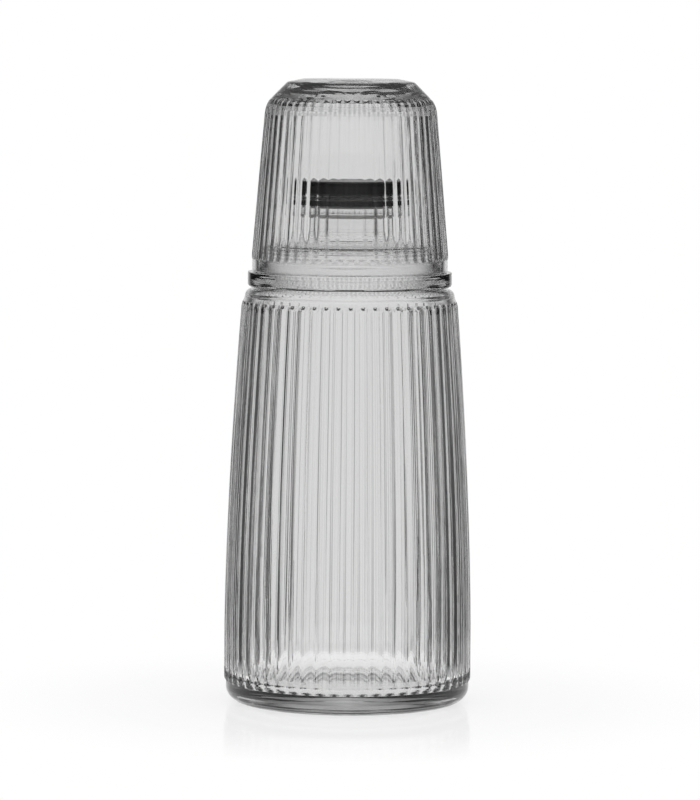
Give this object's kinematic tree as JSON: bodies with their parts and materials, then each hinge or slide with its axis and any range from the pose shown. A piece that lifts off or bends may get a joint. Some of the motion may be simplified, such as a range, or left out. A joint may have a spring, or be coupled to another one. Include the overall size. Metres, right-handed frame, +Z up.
{
  "type": "bedside carafe with tumbler",
  "caption": "Reeded glass water carafe with a flat stopper in its neck and a reeded glass tumbler turned over the neck onto a collar.",
  "frame": {"origin": "centre of the carafe's base, in the plane that it stands on", "axes": "+Z up along the common axis of carafe, stopper and tumbler; X and Y are equivalent because the part is round"},
  "size_m": [0.0998, 0.0998, 0.2519],
  "materials": {
    "carafe_glass": "pressed clear glass with a faint smoke-grey tint",
    "tumbler_glass": "pressed clear glass with a faint smoke-grey tint",
    "stopper_plastic": "black moulded, satin gloss",
    "plug_plastic": "natural white moulded, satin",
    "seal_silicone": "black silicone, matt"
  },
  "bodies": {
    "carafe": {"carafe": "carafe_glass"},
    "tumbler": {"tumbler": "tumbler_glass"},
    "stopper": {"stopper_lid": "stopper_plastic", "stopper_plug": "plug_plastic", "seal_ring": "seal_silicone"}
  },
  "joints": [
    {"name": "tumbler_lift", "type": "slide", "parent": "carafe", "child": "tumbler", "axis": [0, 0, 1], "range_m": [0, 0.09]},
    {"name": "stopper_pull", "type": "slide", "parent": "carafe", "child": "stopper", "axis": [0, 0, 1], "range_m": [0, 0.028]}
  ]
}
